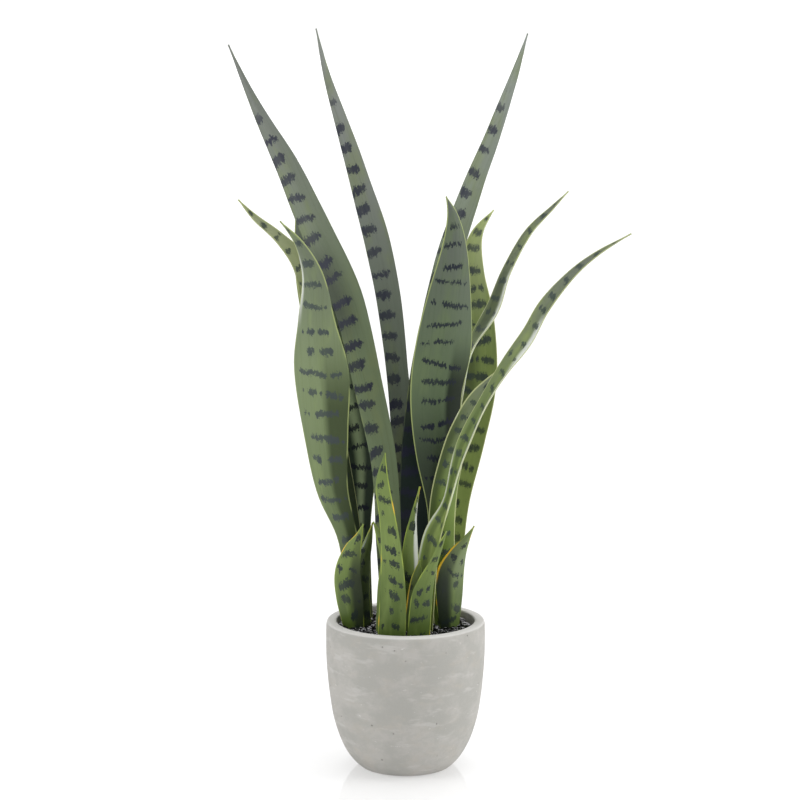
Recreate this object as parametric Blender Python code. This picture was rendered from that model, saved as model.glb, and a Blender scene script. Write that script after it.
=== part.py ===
"""Potted snake plant: nineteen sword leaves standing in soil under black gravel, in a round cement pot.

Metres, +Z up, the front of the plant towards -Y. The origin is the centre of the pot's flat foot.
"""
import math
import random

import bmesh
import bpy
from mathutils import Vector

MM = 0.001

# ---- the pot ------------------------------------------------------------------------------------
POT_HEIGHT = 0.150
POT_RADIUS = 0.080
FOOT_RADIUS = 0.042
WALL = 0.0105
FLOOR = 0.013
FLOOR_ROUND = 0.006
HOLLOW_STEPS = 9
POT_SIDES = 64
# Outside of the pot from its foot to its rim: how far out of the way from foot radius to full radius,
# and how far up of the whole height.
POT_SHAPE = [
    (0.00, 0.000), (0.13, 0.012), (0.27, 0.045), (0.42, 0.093), (0.58, 0.167), (0.71, 0.253),
    (0.83, 0.367), (0.91, 0.500), (0.96, 0.633), (0.99, 0.767), (1.00, 0.880), (0.995, 0.950),
    (0.98, 0.980), (0.955, 0.994), (0.92, 1.000),
]
RIM_ROUND = 0.0015
RIM_INSIDE_TOP = POT_HEIGHT - 2 * RIM_ROUND
# The rounded inner edge of the rim: how far out and how far down, in rounds.
LIP_SHAPE = [(1.0, 0.0), (0.3, 0.6)]

# ---- what fills it ------------------------------------------------------------------------------
CLEARANCE = 0.0003
SLOT_CLEARANCE = 0.0004
SLOT_OVERRUN = 0.006
WALL_CLEARANCE = 0.0005
GRAVEL_DOWN = 0.0095
GRAVEL_TOP = POT_HEIGHT - GRAVEL_DOWN
GRAVEL_DEPTH = 0.014
GRAVEL_BUMP = 0.0016
GRAVEL_RISE = 0.4
GRAVEL_RINGS = 8
GRAVEL_SEED = 7

# ---- the leaves ---------------------------------------------------------------------------------
LEAF_THICKNESS = 0.0026
MARGIN_THICKNESS = 0.0011
TIP_THICKNESS = 0.0009
TIP_WIDTH = 0.0012
# Where a leaf is this wide or wider it has its full thickness. From there it thins to its tip.
FULL_THICKNESS_WIDTH = 0.018
ROOT_DEPTH = 0.030
ACROSS = (-1.0, -0.55, 0.0, 0.55, 1.0)
CHANNEL_POWER = 1.5
STEPS_PER_SPAN = 3
SETTING_RADIUS = 0.0695
SPREAD = MM * (POT_RADIUS - WALL) / SETTING_RADIUS

# Each leaf: how hollow its face is, then stations from the gravel up to the tip. A station is
# x, y and the height above the pot's rim in millimetres, the leaf's width there in millimetres, and the
# way its hollow face looks, in degrees round from the front (90 is to the right, 180 to the back).
# The plant is set out for a rim of SETTING_RADIUS inside, and spreads with the pot that it stands in.
LEAVES = {
    "leaf_tall_left": (0.22, [
        (-14, -4, -7, 22, 20), (-18, -2, 80, 27, 24), (-23, 2, 159, 28, 28), (-41, 6, 245, 33, 32),
        (-61, 8, 325, 37, 36), (-92, 4, 395, 35, 38), (-118, -6, 456, 26, 38), (-147, -20, 516, 11, 38),
        (-170, -36, 572, 0, 38),
    ]),
    "leaf_tall_centre": (0.20, [
        (4, 26, -7, 22, -8), (2, 32, 80, 26, -10), (0, 38, 163, 26, -12), (-7, 44, 239, 23, -18),
        (-16, 50, 319, 27, -24), (-29, 57, 383, 29, -30), (-43, 63, 430, 25, -34),
        (-60, 70, 485, 18, -36), (-78, 78, 539, 9, -36), (-90, 86, 588, 0, -36),
    ]),
    "leaf_tall_right": (0.20, [
        (9, 8, -7, 22, 12), (8, 14, 80, 28, 14), (8, 20, 152, 29, 18), (14, 27, 225, 29, 24),
        (25, 31, 290, 30, 30), (42, 34, 364, 30, 34), (65, 38, 431, 25, 36), (86, 42, 484, 18, 36),
        (106, 46, 538, 10, 36), (121, 50, 583, 0, 36),
    ]),
    "leaf_front_left": (0.26, [
        (-49, 14, -7, 21, 165), (-58, 10, 75, 21, 162), (-75, 4, 131, 34, 160),
        (-82, -6, 191, 49, 158), (-86, -16, 252, 59, 158), (-89, -24, 302, 40, 158),
        (-91, -32, 347, 23, 160), (-103, -42, 381, 9, 162), (-121, -50, 404, 0, 162),
    ]),
    "leaf_left_arching": (0.24, [
        (-44, 27, -7, 16, 25), (-58, 34, 89, 24, 32), (-74, 39, 179, 28, 38), (-84, 42, 256, 28, 38),
        (-95, 42, 313, 26, 34), (-105, 40, 354, 20, 30), (-126, 35, 381, 11, 25), (-150, 30, 402, 6, 20),
        (-166, 25, 420, 0, 20),
    ]),
    "leaf_left_back": (0.30, [
        (-43, 40, -7, 18, 5), (-47, 49, 85, 22, 8), (-49, 56, 161, 38, 12), (-65, 64, 233, 49, 15),
        (-84, 72, 296, 46, 18), (-100, 80, 351, 29, 20), (-112, 88, 400, 0, 20),
    ]),
    "leaf_front_centre": (0.22, [
        (-14, -46, -7, 27, 178), (-13, -48, 30, 26, 174), (-14, -52, 72, 21, 170),
        (-18, -56, 113, 16, 168), (-23, -61, 149, 13, 166), (-20, -66, 181, 0, 166),
    ]),
    "leaf_front_right": (0.20, [
        (37, 20, -7, 22, 190), (36, 16, 56, 24, 192), (37, 9, 112, 30, 194), (34, 0, 170, 47, 197),
        (32, -8, 225, 54, 200), (39, -14, 276, 59, 200), (44, -20, 326, 46, 200),
        (48, -26, 374, 27, 200), (46, -31, 406, 12, 200), (39, -36, 427, 0, 200),
    ]),
    "leaf_right_back": (0.26, [
        (43, 37, -7, 20, -10), (48, 43, 55, 22, -12), (52, 50, 113, 29, -15), (63, 58, 173, 39, -18),
        (73, 66, 234, 45, -20), (72, 74, 294, 43, -22), (68, 82, 344, 28, -24), (73, 88, 380, 13, -24),
        (90, 94, 405, 0, -24),
    ]),
    "leaf_right_short_arch": (0.26, [
        (25, 35, -7, 18, -20), (34, 34, 72, 25, -40), (45, 34, 164, 28, -55), (56, 34, 226, 27, -70),
        (67, 36, 269, 26, -78), (89, 40, 308, 22, -58), (103, 44, 347, 15, -56), (124, 50, 385, 10, -54),
        (148, 56, 410, 5, -50), (164, 62, 426, 0, -50),
    ]),
    "leaf_right_long_arch": (0.26, [
        (20, -18, -7, 18, -30), (22, -24, 41, 23, -36), (27, -30, 86, 24, -48),
        (42, -38, 123, 24, -80), (55, -46, 176, 24, -68), (76, -54, 224, 25, -80),
        (97, -60, 261, 24, -76), (119, -64, 293, 21, -60), (135, -67, 324, 17, -58),
        (160, -70, 355, 10, -56), (185, -72, 376, 5, -54), (215, -74, 394, 0, -50),
    ]),
    "leaf_right_broad": (0.24, [
        (40, 9, -7, 21, 190), (37, 4, 65, 26, 192), (38, -6, 119, 27, 196), (46, -16, 164, 25, 200),
        (57, -24, 198, 24, 204), (73, -32, 230, 20, 206), (97, -40, 264, 0, 208),
    ]),
    "leaf_small_front_right": (0.24, [
        (13, -44, -7, 22, 184), (16, -47, 31, 21, 188), (21, -50, 51, 15, 190),
        (28, -53, 70, 8, 192), (34, -56, 87, 5, 192), (40, -59, 102, 0, 192),
    ]),
    "leaf_small_dark_centre": (0.24, [
        (6, -30, -7, 17, 170), (9, -31, 20, 17, 170), (11, -33, 47, 12, 170), (14, -35, 68, 0, 170),
    ]),
    "leaf_small_left": (0.30, [
        (-53, -8, -7, 22, 160), (-57, -10, 21, 29, 160), (-59, -13, 48, 28, 160),
        (-54, -17, 72, 19, 160), (-47, -20, 88, 8, 160), (-42, -23, 102, 0, 160),
    ]),
    "leaf_small_left_inner": (0.24, [
        (-42, 3, -7, 17, 200), (-44, 4, 28, 18, 200), (-42, 6, 58, 15, 200), (-37, 8, 79, 8, 200),
        (-33, 10, 97, 0, 200),
    ]),
    "leaf_small_centre_back": (0.22, [
        (-21, -27, -7, 17, 176), (-18, -28, 35, 20, 176), (-17, -29, 65, 16, 176),
        (-24, -30, 87, 9, 176), (-32, -31, 106, 0, 176),
    ]),
    "leaf_small_right": (0.30, [
        (45, -9, -7, 20, 200), (45, -11, 22, 28, 200), (46, -14, 49, 29, 200),
        (52, -17, 69, 19, 200), (60, -20, 85, 8, 200), (68, -23, 100, 0, 200),
    ]),
    "leaf_centre_small": (0.24, [
        (4, -14, -7, 17, 188), (5, -16, 48, 18, 188), (5, -18, 80, 14, 188), (8, -21, 110, 6, 188),
        (14, -25, 140, 0, 188),
    ]),
}

# ---- finishes -----------------------------------------------------------------------------------
FINISHES = {
    "cement": ((0.53, 0.52, 0.49), 0.85),
    "soil": ((0.05, 0.035, 0.025), 0.95),
    "gravel": ((0.012, 0.012, 0.014), 0.35),
    "tall_leaf": ((0.13, 0.18, 0.11), 0.45),
    "broad_leaf": ((0.14, 0.22, 0.08), 0.45),
    "young_leaf": ((0.15, 0.25, 0.05), 0.40),
}
BROAD_LEAVES = (
    "leaf_front_left", "leaf_left_arching", "leaf_left_back", "leaf_front_right", "leaf_right_back",
    "leaf_right_short_arch", "leaf_right_long_arch", "leaf_right_broad",
)
TALL_LEAVES = ("leaf_tall_left", "leaf_tall_centre", "leaf_tall_right")


def clear_scene():
    """Leave an empty scene."""
    for thing in list(bpy.data.objects):
        bpy.data.objects.remove(thing, do_unlink=True)


def finish(name):
    """The material of one finish, made the first time it is asked for."""
    material = bpy.data.materials.get(name)
    if material is None:
        colour, roughness = FINISHES[name]
        material = bpy.data.materials.new(name)
        material.use_nodes = True
        shader = material.node_tree.nodes["Principled BSDF"]
        shader.inputs["Base Color"].default_value = (*colour, 1.0)
        shader.inputs["Roughness"].default_value = roughness
        shader.inputs["Metallic"].default_value = 0.0
    return material


def new_piece(name, points, faces, finish_name, smooth=True):
    """One closed body as a named object."""
    mesh = bpy.data.meshes.new(name)
    mesh.from_pydata([tuple(p) for p in points], [], faces)
    body = bmesh.new()
    body.from_mesh(mesh)
    bmesh.ops.recalc_face_normals(body, faces=body.faces)
    body.to_mesh(mesh)
    body.free()
    mesh.materials.append(finish(finish_name))
    for polygon in mesh.polygons:
        polygon.use_smooth = smooth
    piece = bpy.data.objects.new(name, mesh)
    bpy.context.scene.collection.objects.link(piece)
    return piece


def turned(profile, sides):
    """Points and faces of a profile of (radius, height) turned round Z. Its ends lie on the axis."""
    points = [Vector((0.0, 0.0, profile[0][1]))]
    rings = profile[1:-1]
    for radius, height in rings:
        for side in range(sides):
            angle = math.tau * side / sides
            points.append(Vector((radius * math.cos(angle), radius * math.sin(angle), height)))
    points.append(Vector((0.0, 0.0, profile[-1][1])))
    last = len(points) - 1
    top = 1 + (len(rings) - 1) * sides
    faces = []
    for side in range(sides):
        after = (side + 1) % sides
        faces.append((0, 1 + after, 1 + side))
        faces.append((last, top + side, top + after))
        for ring in range(len(rings) - 1):
            low = 1 + ring * sides
            high = low + sides
            faces.append((low + side, low + after, high + after, high + side))
    return points, faces


# ---- pot, soil and gravel -----------------------------------------------------------------------
def outside_of_pot():
    """The pot's outside as (radius, height), from the foot's edge to the top of the rim."""
    return [
        (FOOT_RADIUS + out * (POT_RADIUS - FOOT_RADIUS), up * POT_HEIGHT) for out, up in POT_SHAPE
    ]


def radius_at(line, height):
    """Radius of a line of (radius, height) at a height."""
    for (r0, z0), (r1, z1) in zip(line, line[1:]):
        if z0 <= height <= z1:
            return r0 + (r1 - r0) * (height - z0) / (z1 - z0)
    return line[-1][0]


def hollow_of_pot():
    """The wall of the pot's hollow as (radius, height), from the edge of its floor up to the rim."""
    outside = outside_of_pot()
    rim_inside = POT_RADIUS - WALL
    line = [(radius_at(outside, FLOOR) - WALL - FLOOR_ROUND, FLOOR)]
    low = FLOOR + FLOOR_ROUND
    for step in range(HOLLOW_STEPS + 1):
        height = low + (RIM_INSIDE_TOP - low) * step / HOLLOW_STEPS
        line.append((min(radius_at(outside, height) - WALL, rim_inside), height))
    return line


def build_pot():
    """The cement pot, one piece with a rounded rim."""
    wall = hollow_of_pot()
    rim_inside = wall[-1][0]
    lip = [(rim_inside + out * RIM_ROUND, POT_HEIGHT - down * RIM_ROUND) for out, down in LIP_SHAPE]
    profile = [(0.0, 0.0)] + outside_of_pot() + lip + wall[::-1] + [(0.0, FLOOR)]
    points, faces = turned(profile, POT_SIDES)
    return new_piece("pot", points, faces, "cement")


def build_soil():
    """Potting soil filling the hollow up to the gravel."""
    top = GRAVEL_TOP - GRAVEL_DEPTH - CLEARANCE
    wall = hollow_of_pot()
    line = [(radius - WALL_CLEARANCE, height) for radius, height in wall if FLOOR < height < top]
    line.append((radius_at(wall, top) - WALL_CLEARANCE, top))
    bottom = FLOOR + CLEARANCE
    profile = [(0.0, bottom), (wall[0][0] - WALL_CLEARANCE, bottom)] + line + [(0.0, top)]
    points, faces = turned(profile, POT_SIDES)
    return new_piece("potting_soil", points, faces, "soil", smooth=False)


def build_gravel():
    """The bed of loose gravel on the soil, with its uneven top."""
    chance = random.Random(GRAVEL_SEED)
    bottom = GRAVEL_TOP - GRAVEL_DEPTH
    wall = hollow_of_pot()
    radius = min(radius_at(wall, bottom), radius_at(wall, GRAVEL_TOP)) - WALL_CLEARANCE
    edge = GRAVEL_TOP - GRAVEL_BUMP
    profile = [(0.0, bottom), (radius, bottom)]
    profile += [(radius * (1 - ring / GRAVEL_RINGS), edge) for ring in range(GRAVEL_RINGS)]
    profile.append((0.0, GRAVEL_TOP))
    points, faces = turned(profile, POT_SIDES)
    for point in points[1 + 2 * POT_SIDES:]:
        point.z = GRAVEL_TOP + GRAVEL_BUMP * chance.uniform(-1.0, GRAVEL_RISE)
    return new_piece("gravel_bed", points, faces, "gravel", smooth=False)


# ---- leaves -------------------------------------------------------------------------------------
def smooth_step(values, span, part):
    """A value part of the way along one span of a list, on a smooth curve through them all."""
    before = values[max(span - 1, 0)]
    here = values[span]
    there = values[span + 1]
    after = values[min(span + 2, len(values) - 1)]
    return 0.5 * (
        2 * here
        + (there - before) * part
        + (2 * before - 5 * here + 4 * there - after) * part ** 2
        + (3 * here - before - 3 * there + after) * part ** 3
    )


def leaf_line(stations):
    """Centre, width and facing at every cross-section of a leaf above the gravel."""
    columns = list(zip(*stations))
    line = []
    for span in range(len(stations) - 1):
        for step in range(STEPS_PER_SPAN):
            line.append([smooth_step(column, span, step / STEPS_PER_SPAN) for column in columns])
    line.append(list(stations[-1]))
    return [
        (
            Vector((x * SPREAD, y * SPREAD, POT_HEIGHT + z * MM)),
            max(width * SPREAD, TIP_WIDTH),
            math.radians(facing),
        )
        for x, y, z, width, facing in line
    ]


def cross_section(centre, along, facing, width, hollow, thick, grow=0.0):
    """The closed outline of a leaf cut across: its hollow face, then its back."""
    look = Vector((math.sin(facing), -math.cos(facing), 0.0))
    look = (look - along * look.dot(along)).normalized()
    side = along.cross(look)
    face = []
    back = []
    for across in ACROSS:
        out = side * across * (width / 2 + grow)
        lift = look * hollow * (width / 2) * abs(across) ** CHANNEL_POWER
        edge = min(MARGIN_THICKNESS, thick)
        half = (edge + (thick - edge) * (1 - across ** 2)) / 2 + grow
        face.append(centre + out + lift + look * half)
        back.append(centre + out + lift - look * half)
    return face + back[::-1]


def loft(rings):
    """Faces joining rings of equal length, with both ends closed."""
    count = len(rings[0])
    half = count // 2
    points = [point for ring in rings for point in ring]
    faces = []
    for row in range(len(rings) - 1):
        low = row * count
        for at in range(count):
            after = (at + 1) % count
            faces.append((low + at, low + after, low + count + after, low + count + at))
    for low in (0, (len(rings) - 1) * count):
        for at in range(half - 1):
            faces.append((low + at, low + at + 1, low + count - 2 - at, low + count - 1 - at))
    return points, faces


def foot_rings(stations, hollow, low, high, grow=0.0):
    """The straight foot of a leaf between two heights."""
    x, y, _, width, facing = stations[0]
    upright = Vector((0.0, 0.0, 1.0))
    return [
        cross_section(
            Vector((x * SPREAD, y * SPREAD, height)), upright, math.radians(facing), width * SPREAD,
            hollow, LEAF_THICKNESS, grow,
        )
        for height in (low, high)
    ]


def build_leaf(name, hollow, stations):
    """One sword leaf: a straight foot down in the soil, then a channelled blade up to its awl tip."""
    line = leaf_line(stations)
    rings = foot_rings(stations, hollow, GRAVEL_TOP - ROOT_DEPTH, line[0][0].z)
    last = len(line) - 1
    for at in range(1, last + 1):
        centre, width, facing = line[at]
        along = (line[min(at + 1, last)][0] - line[at - 1][0]).normalized()
        fullness = min(1.0, width / FULL_THICKNESS_WIDTH)
        thick = TIP_THICKNESS + (LEAF_THICKNESS - TIP_THICKNESS) * fullness
        rings.append(cross_section(centre, along, facing, width, hollow, thick))
    points, faces = loft(rings)
    if name in TALL_LEAVES:
        look = "tall_leaf"
    elif name in BROAD_LEAVES:
        look = "broad_leaf"
    else:
        look = "young_leaf"
    return new_piece(name, points, faces, look)


def build_slots():
    """The slots that the leaves' feet stand in, as one cutting body."""
    low = GRAVEL_TOP - ROOT_DEPTH - CLEARANCE
    high = GRAVEL_TOP + SLOT_OVERRUN
    all_points = []
    all_faces = []
    for hollow, stations in LEAVES.values():
        points, faces = loft(foot_rings(stations, hollow, low, high, SLOT_CLEARANCE))
        start = len(all_points)
        all_points += points
        all_faces += [tuple(start + at for at in face) for face in faces]
    cutter = new_piece("leaf_slots", all_points, all_faces, "soil")
    cutter.hide_render = True
    cutter.display_type = "WIRE"
    return cutter


def cut_slots(bed, cutter):
    """Open the slots in one bed."""
    cut = bed.modifiers.new("slots", "BOOLEAN")
    cut.operation = "DIFFERENCE"
    cut.solver = "EXACT"
    cut.object = cutter


def main():
    """Build every piece of the plant."""
    clear_scene()
    build_pot()
    cutter = build_slots()
    cut_slots(build_soil(), cutter)
    cut_slots(build_gravel(), cutter)
    for name, (hollow, stations) in LEAVES.items():
        build_leaf(name, hollow, stations)


main()
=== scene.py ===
"""A potted snake plant: banded sword leaves in black gravel, in a round cement pot.

Each sub-assembly is a class that builds its meshes in metres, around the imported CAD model, and gives them
their finishes. The front of the plant is towards -Y and its pot stands on the plane Z = 0.
"""
import logging
import math
from dataclasses import dataclass, field, replace
from enum import Enum
from typing import Any

import bpy
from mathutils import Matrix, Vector, noise


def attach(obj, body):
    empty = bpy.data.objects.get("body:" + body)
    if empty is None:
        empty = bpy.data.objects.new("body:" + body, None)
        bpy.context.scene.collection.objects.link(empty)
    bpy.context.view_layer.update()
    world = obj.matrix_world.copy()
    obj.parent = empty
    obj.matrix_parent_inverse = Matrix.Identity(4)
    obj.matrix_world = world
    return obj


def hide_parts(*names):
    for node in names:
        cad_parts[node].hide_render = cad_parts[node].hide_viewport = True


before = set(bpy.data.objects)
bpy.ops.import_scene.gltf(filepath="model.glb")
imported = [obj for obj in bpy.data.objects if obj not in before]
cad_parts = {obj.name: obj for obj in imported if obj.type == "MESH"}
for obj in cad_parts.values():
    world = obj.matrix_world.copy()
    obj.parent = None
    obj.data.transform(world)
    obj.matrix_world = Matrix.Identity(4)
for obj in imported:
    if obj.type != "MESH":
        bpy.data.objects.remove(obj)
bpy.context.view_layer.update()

LOG = logging.getLogger("snake_plant")
MM = 0.001
Colour = tuple[float, float, float]
Place = tuple[float, float, float]
# One stop on a leaf's centre line: x, y, z and width in millimetres, and its facing in degrees.
Station = tuple[float, float, float, float, float]
# One cut across a leaf: centre, direction, width, facing in radians, metres travelled.
Section = tuple[Vector, Vector, float, float, float]


class LeafKind(Enum):
    """The three ages of leaf on the plant."""

    TALL = "tall_leaf"
    BROAD = "broad_leaf"
    YOUNG = "young_leaf"


# ---- shader nodes ----
@dataclass(frozen=True)
class Wire:
    """A number on its way between shader nodes. Arithmetic on it adds Math nodes."""

    bench: "Bench"
    socket: bpy.types.NodeSocket

    def _math(self, operation: str, *values: Any) -> "Wire":
        """Add one Math node.

        Args:
            operation: The node's operation.
            values: Its inputs in order, as wires or numbers.

        Returns:
            The result.
        """
        node = self.bench.node("ShaderNodeMath", {"operation": operation}, dict(enumerate(values)))
        return Wire(self.bench, node.outputs[0])

    def __add__(self, other: Any) -> "Wire":
        """self + other."""
        return self._math("ADD", self, other)

    __radd__ = __add__

    def __sub__(self, other: Any) -> "Wire":
        """self - other."""
        return self._math("SUBTRACT", self, other)

    def __rsub__(self, other: Any) -> "Wire":
        """other - self."""
        return self._math("SUBTRACT", other, self)

    def __mul__(self, other: Any) -> "Wire":
        """self * other."""
        return self._math("MULTIPLY", self, other)

    __rmul__ = __mul__

    def __truediv__(self, other: Any) -> "Wire":
        """self / other."""
        return self._math("DIVIDE", self, other)

    def __abs__(self) -> "Wire":
        """The size of self."""
        return self._math("ABSOLUTE", self)

    def floor(self) -> "Wire":
        """The whole number below self."""
        return self._math("FLOOR", self)

    def swing(self, reach: float) -> "Wire":
        """Self folded to and fro between 0 and a reach."""
        return self._math("PINGPONG", self, reach)

    def step(self, low: Any, high: Any) -> "Wire":
        """A smooth step of self, 0 at low and 1 at high.

        Args:
            low: Where the step begins.
            high: Where it ends.

        Returns:
            A mask from 0 to 1.
        """
        settings = {"interpolation_type": "SMOOTHSTEP"}
        node = self.bench.node("ShaderNodeMapRange", settings, {0: self, 1: low, 2: high})
        return Wire(self.bench, node.outputs[0])


class Bench:
    """A material's node tree, with one method that adds any node."""

    def __init__(self, name: str) -> None:
        """Make a material with an empty tree and its Principled shader.

        Args:
            name: The material's name.
        """
        self.material = bpy.data.materials.new(name)
        self.material.use_nodes = True
        self.tree = self.material.node_tree
        self.shader = self.tree.nodes["Principled BSDF"]

    def node(self, kind: str, settings: dict[str, Any], values: dict[Any, Any]) -> bpy.types.Node:
        """Add one node.

        Args:
            kind: The node's type.
            settings: Its properties, set first.
            values: Its inputs by name or number, as wires, sockets or constants.

        Returns:
            The node.
        """
        node = self.tree.nodes.new(kind)
        for name, value in settings.items():
            setattr(node, name, value)
        for key, value in values.items():
            self.feed(node.inputs[key], value)
        return node

    def feed(self, target: bpy.types.NodeSocket, value: Any) -> None:
        """Link a wire or socket to an input, or set the input's constant.

        Args:
            target: The input socket.
            value: A wire, a socket, a number or a colour.
        """
        if isinstance(value, Wire):
            value = value.socket
        if isinstance(value, bpy.types.NodeSocket):
            self.tree.links.new(value, target)
        elif target.type == "RGBA" and len(value) == 3:
            target.default_value = (*value, 1.0)
        else:
            target.default_value = value

    def attribute(self, name: str) -> Wire:
        """A number stored on the mesh."""
        node = self.node("ShaderNodeAttribute", {"attribute_name": name}, {})
        return Wire(self, node.outputs["Fac"])

    def place(self, scale: Place = (1.0, 1.0, 1.0)) -> bpy.types.NodeSocket:
        """Object coordinates in metres, stretched.

        Args:
            scale: The stretch along X, Y and Z.

        Returns:
            The vector socket.
        """
        where = self.node("ShaderNodeTexCoord", {}, {})
        mapped = self.node("ShaderNodeMapping", {}, {"Vector": where.outputs["Object"], "Scale": scale})
        return mapped.outputs[0]

    def vector(self, x: Any, y: Any, z: Any) -> bpy.types.NodeSocket:
        """Three numbers as a vector."""
        return self.node("ShaderNodeCombineXYZ", {}, {0: x, 1: y, 2: z}).outputs[0]

    def noise(self, where: Any, scale: float = 1.0, detail: float = 2.0, roughness: float = 0.5) -> Wire:
        """Smooth noise from 0 to 1.

        Args:
            where: The place it is read at.
            scale: Its features per unit of that place.
            detail: How many finer layers it has.
            roughness: How strong those are.

        Returns:
            The noise.
        """
        values = {"Vector": where, "Scale": scale, "Detail": detail, "Roughness": roughness}
        return Wire(self, self.node("ShaderNodeTexNoise", {}, values).outputs["Fac"])

    def chance(self, number: Any) -> Wire:
        """An even chance from 0 to 1 for each whole number."""
        node = self.node("ShaderNodeTexWhiteNoise", {"noise_dimensions": "1D"}, {"W": number})
        return Wire(self, node.outputs["Value"])

    def mix(self, share: Any, first: Any, second: Any) -> bpy.types.NodeSocket:
        """Two colours mixed.

        Args:
            share: How much of the second colour, from 0 to 1.
            first: The first colour.
            second: The second colour.

        Returns:
            The colour socket.
        """
        node = self.node("ShaderNodeMix", {"data_type": "RGBA"}, {0: share, 6: first, 7: second})
        return node.outputs[2]

    def bump(self, height: Any, strength: float, distance: float) -> None:
        """Give the shader a bumped normal.

        Args:
            height: The surface's height, from 0 to 1.
            strength: How strongly it shows.
            distance: The depth of the bumps, in metres.
        """
        values = {"Height": height, "Strength": strength, "Distance": distance}
        self.feed(self.shader.inputs["Normal"], self.node("ShaderNodeBump", {}, values).outputs[0])

    def finish(self, **values: Any) -> bpy.types.Material:
        """Set the shader's inputs, named in lower case with underscores.

        Args:
            values: The inputs and their wires, sockets or constants.

        Returns:
            The material.
        """
        for name, value in values.items():
            self.feed(self.shader.inputs[name.replace("_", " ").title().replace("Ior", "IOR")], value)
        return self.material


# ---- finishes ----
@dataclass(frozen=True)
class CementFinish:
    """Cast light grey cement: mottled, trowelled, with fine scratches and pinholes, and a painted highlight
    on the rim top.
    """

    pale: Colour = (0.445, 0.432, 0.405)
    grey: Colour = (0.380, 0.374, 0.348)
    warm: Colour = (0.44, 0.41, 0.36)
    # Pale trowel bloom, also used for the painted highlight on the rim top.
    bloom_and_rim_highlight: Colour = (0.58, 0.57, 0.55)
    chip: Colour = (0.72, 0.71, 0.69)
    pit: Colour = (0.16, 0.155, 0.14)
    # Height where the painted rim-top highlight begins, and the rise over which it fades in.
    rim_highlight_from: float = 0.1478
    rim_highlight_fade: float = 0.0015
    pit_scale: float = 95.0
    pit_from: float = 0.72
    roughness: float = 0.78
    gloss: float = 0.35
    relief: float = 0.0008

    def material(self) -> bpy.types.Material:
        """The cement material."""
        b = Bench("cement")
        clouds = b.noise(b.place((1.0, 1.0, 1.3)), scale=24.0, detail=5.0, roughness=0.65)
        stains = b.noise(b.place((1.0, 1.0, 1.8)), scale=38.0, detail=5.0, roughness=0.65)
        daubs = b.noise(b.place((90.0, 90.0, 120.0)), detail=4.0, roughness=0.65)
        strokes = b.noise(b.place((26.0, 26.0, 110.0)), detail=3.0, roughness=0.6)
        scratch = b.noise(b.place((120.0, 120.0, 330.0)), detail=3.0, roughness=0.75)
        grain = b.noise(b.place(), scale=900.0, detail=3.0, roughness=0.7)
        height = Wire(b, b.node("ShaderNodeSeparateXYZ", {}, {0: b.place()}).outputs[2])
        cells = b.node("ShaderNodeTexVoronoi", {}, {"Vector": b.place(), "Scale": self.pit_scale})
        near = Wire(b, cells.outputs["Distance"])
        lot = Wire(b, b.node("ShaderNodeSeparateColor", {}, {0: cells.outputs["Color"]}).outputs[0])
        pits = (1.0 - near.step(0.04, 0.13)) * lot.step(self.pit_from, self.pit_from + 0.02)
        layers = (
            (stains.step(0.50, 0.70) * 0.5, self.warm),
            (daubs.step(0.50, 0.60) * 0.40, self.grey),
            (strokes.step(0.57, 0.69) * 0.36, self.bloom_and_rim_highlight),
            (scratch.step(0.67, 0.73) * 0.70, self.chip),
            # Painted highlight: the rim top is lightened, standing in for the light falling on it.
            (height.step(self.rim_highlight_from, self.rim_highlight_from + self.rim_highlight_fade) * 0.9, self.bloom_and_rim_highlight),
            (grain.step(0.3, 0.8) * 0.15, self.grey),
            (pits * 0.6, self.pit),
        )
        colour = b.mix(clouds.step(0.40, 0.60), self.grey, self.pale)
        for mask, over in layers:
            colour = b.mix(mask, colour, over)
        skin = grain * 0.25 + strokes * 0.35 + clouds * 0.4 + daubs * 0.3 + scratch * 0.2 - pits * 1.2
        b.bump(skin, strength=0.6, distance=self.relief)
        roughness = self.roughness + stains * 0.15
        return b.finish(base_color=colour, roughness=roughness, specular_ior_level=self.gloss)


@dataclass(frozen=True)
class GravelFinish:
    """Glossy black pebbles, some of them greyer, with thin pale lines painted on as glints of light."""

    black: Colour = (0.002, 0.002, 0.003)
    slate: Colour = (0.012, 0.012, 0.014)
    # The pale colour of the painted glints.
    pale: Colour = (0.55, 0.55, 0.57)
    roughness: float = 0.10
    gloss: float = 0.32

    def material(self) -> bpy.types.Material:
        """The gravel material."""
        b = Bench("gravel")
        lot = b.noise(b.place(), scale=110.0, detail=1.0)
        grain = b.noise(b.place(), scale=800.0, detail=3.0, roughness=0.7)
        # Painted glints: thin pale lines standing in for highlights on the glossy stones.
        glint_noise = b.noise(b.place((1.0, 1.0, 1.8)), scale=130.0, roughness=0.6)
        fine_lines = 1.0 - abs(glint_noise - 0.56).step(0.004, 0.022)
        colour = b.mix(lot.step(0.45, 0.65), self.black, self.slate)
        colour = b.mix(fine_lines * 0.85, colour, self.pale)
        b.bump(grain, strength=0.15, distance=0.0003)
        roughness = self.roughness + grain * 0.15
        return b.finish(base_color=colour, roughness=roughness, specular_ior_level=self.gloss)


@dataclass(frozen=True)
class SoilFinish:
    """Dark crumbly potting soil."""

    dark: Colour = (0.018, 0.012, 0.008)
    brown: Colour = (0.07, 0.045, 0.028)
    roughness: float = 0.95

    def material(self) -> bpy.types.Material:
        """The soil material."""
        b = Bench("soil")
        crumbs = b.noise(b.place(), scale=320.0, detail=6.0, roughness=0.75)
        b.bump(crumbs, strength=0.8, distance=0.002)
        colour = b.mix(crumbs.step(0.35, 0.7), self.dark, self.brown)
        return b.finish(base_color=colour, roughness=self.roughness)


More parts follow.
